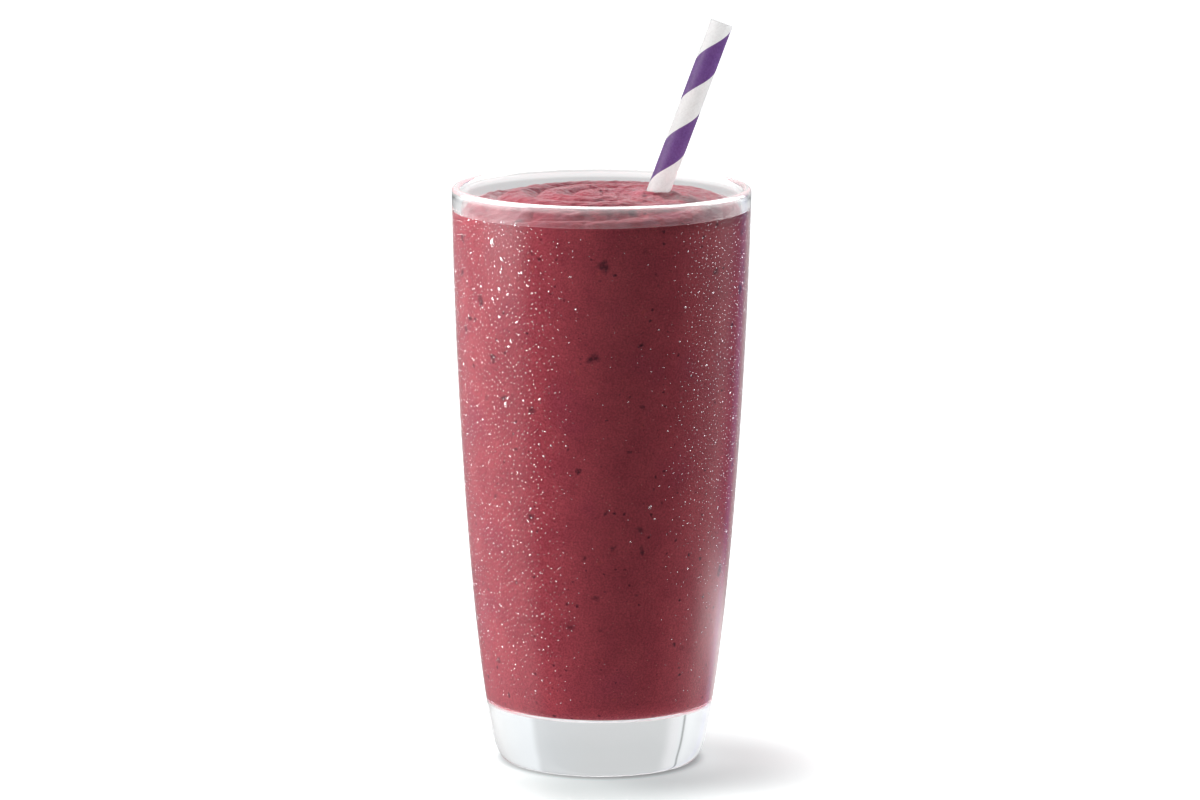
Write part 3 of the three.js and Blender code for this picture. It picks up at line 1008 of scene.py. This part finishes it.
def studio_world():
    """White for the eye, a pale grey screen seen through glass, and a room for light and shine."""
    world = bpy.data.worlds.new("studio")
    world.use_nodes = True
    tree = world.node_tree
    tree.nodes.clear()
    towards = tree.nodes.new("ShaderNodeTexCoord").outputs["Generated"]
    parts = add_node(tree, "ShaderNodeSeparateXYZ", None, Vector=towards)
    compass = maths(tree, "ARCTAN2", parts.outputs["X"], parts.outputs["Y"])
    turn = maths(tree, "ADD", maths(tree, "DIVIDE", compass, 2 * math.pi), 0.5)
    # The turn runs from 0 at the front over a quarter at the left, a half behind and three
    # quarters at the right to 1 at the front again.
    room = round_ramp(tree, turn, (
        (0.0, (0.05, 0.05, 0.05)),
        (0.14, (0.05, 0.05, 0.05)),
        (0.21, (0.9, 0.9, 0.9)),
        (0.29, (0.85, 0.85, 0.85)),
        (0.35, (0.6, 0.6, 0.61)),
        (0.43, (0.32, 0.32, 0.33)),
        (0.50, (0.6, 0.6, 0.6)),
        (0.56, (0.62, 0.63, 0.66)),
        (0.6, (0.3, 0.29, 0.52)),
        (0.63, (0.16, 0.15, 0.24)),
        (0.69, (0.52, 0.53, 0.55)),
        (0.74, (0.33, 0.34, 0.35)),
        (0.79, (0.15, 0.15, 0.15)),
        (0.84, (0.05, 0.05, 0.05)),
        (1.0, (0.05, 0.05, 0.05)),
    ))
    rise = ramp(tree, parts.outputs["Z"], -0.02, 0.12, 1.0, 1.35)
    fall = ramp(tree, parts.outputs["Z"], 0.3, 0.65, 1.0, 0.28)
    room = mixed(tree, 1.0, room, maths(tree, "MULTIPLY", rise, fall), "MULTIPLY")
    screen = round_ramp(tree, turn, (
        (0.0, (0.9, 0.9, 0.9)),
        (0.38, (0.93, 0.95, 0.97)),
        (0.392, (0.86, 0.88, 0.9)),
        (0.3945, (0.3, 0.31, 0.32)),
        (0.397, (0.86, 0.88, 0.9)),
        (0.41, (0.85, 0.85, 0.87)),
        (0.432, (0.66, 0.67, 0.68)),
        (0.50, (0.66, 0.67, 0.68)),
        (0.566, (0.68, 0.7, 0.72)),
        (0.578, (0.9, 0.93, 0.96)),
        (0.7, (1.0, 1.0, 1.0)),
        (1.0, (0.9, 0.9, 0.9)),
    ))
    above_line = ramp(tree, parts.outputs["Z"], -0.16, -0.14)
    below_line = ramp(tree, parts.outputs["Z"], -0.18, -0.19)
    off_line = maths(tree, "ADD", above_line, below_line)
    screen = mixed(tree, off_line, (0.93, 0.93, 0.94, 1), screen)
    path = tree.nodes.new("ShaderNodeLightPath").outputs
    seen = mixed(tree, path["Is Transmission Ray"], room, screen)
    seen = mixed(tree, path["Is Camera Ray"], seen, (1.0, 1.0, 1.0, 1))
    background = add_node(tree, "ShaderNodeBackground", None, Color=seen, Strength=1.0)
    output = tree.nodes.new("ShaderNodeOutputWorld")
    tree.links.new(background.outputs[0], output.inputs["Surface"])
    bpy.context.scene.world = world


box_turn = math.radians(SOFT_BOX_TURN)
box_height = SOFT_BOX_LOW + SOFT_BOX_HEIGHT / 2
box_place = (-SOFT_BOX_AWAY * math.sin(box_turn), -SOFT_BOX_AWAY * math.cos(box_turn), box_height)
box_aim = (0, 0, box_height)
soft_box = soft_light("soft_box", box_place, box_aim, SOFT_BOX_WIDTH, SOFT_BOX_HEIGHT, SOFT_BOX_RADIANCE)
soft_edges(soft_box, 0.45, 0.24, 0.1)
front_fill = soft_light("front_fill", (0.1, -1.2, 0.2), (0, 0, 0.08), 0.8, 0.8, 0.52)
front_fill.visible_glossy = False
right_fill = soft_light("right_fill", (0.5, 0.02, 0.04), (0, 0, 0.06), 0.3, 0.4, 0.9)
right_fill.visible_glossy = False
floor_bounce = soft_light("floor_bounce", (0.0, 0.0, -0.002), (0.0, 0.0, 1.0), 0.24, 0.24, 0.2)
floor_bounce.visible_transmission = False
floor_bounce.visible_glossy = False
right_bounce = soft_light("right_bounce", (0.14, 0.09, -0.002), (0.14, 0.09, 1.0), 0.26, 0.26, 1.7)
soft_edges(right_bounce, 0.5, 0.5, 0.5)
right_bounce.visible_transmission = False
top_fill = soft_light("top_fill", (-0.13, 0.26, 0.345), (0, -0.004, 0.152), 0.08, 0.03, 1.5)
top_fill.data.spread = math.radians(9)
top_fill.visible_glossy = False
top_fill.visible_camera = False
only_for(top_fill, [smoothie])
rim_lamp = soft_light("rim_lamp", (0.0, 0.15, 0.75), (0, 0, 0.15), 1.8, 1.2, 9.0)
rim_lamp.visible_transmission = False
only_for(rim_lamp, [glass])
rim_left = soft_light("rim_left", (-0.55, 0.1, 0.42), (0, 0, 0.15), 0.9, 0.5, 9.0)
rim_left.visible_transmission = False
only_for(rim_left, [glass])
rim_right = soft_light("rim_right", (0.55, 0.25, 0.42), (0, 0, 0.15), 0.7, 0.5, 8.0)
rim_right.visible_transmission = False
only_for(rim_right, [glass])
sparkle_left = soft_light("sparkle_left", (-0.5, 0.05, 0.22), (0, 0, 0.08), 1.0, 0.5, 11.0)
only_for(sparkle_left, wet_pieces)
sparkle_right = soft_light("sparkle_right", (0.48, 0.16, 0.22), (0, 0, 0.08), 0.5, 0.5, 7.5, COOL_WHITE)
only_for(sparkle_right, wet_pieces)
straw_right = soft_light("straw_right", (0.64, -0.64, 0.3), (0, 0, 0.17), 0.6, 0.6, 5.6)
straw_right.visible_glossy = False
only_for(straw_right, [straw])
straw_left = soft_light("straw_left", (-0.78, -0.45, 0.3), (0, 0, 0.17), 0.6, 0.6, 2.6)
only_for(straw_left, [straw])
floor_key = soft_light("floor_key", (-0.6, 0.25, 0.5), (0, 0, 0), 0.4, 0.4, 5.0)
only_for(floor_key, [floor])
studio_world()
bpy.context.scene.view_settings.view_transform = "Standard"
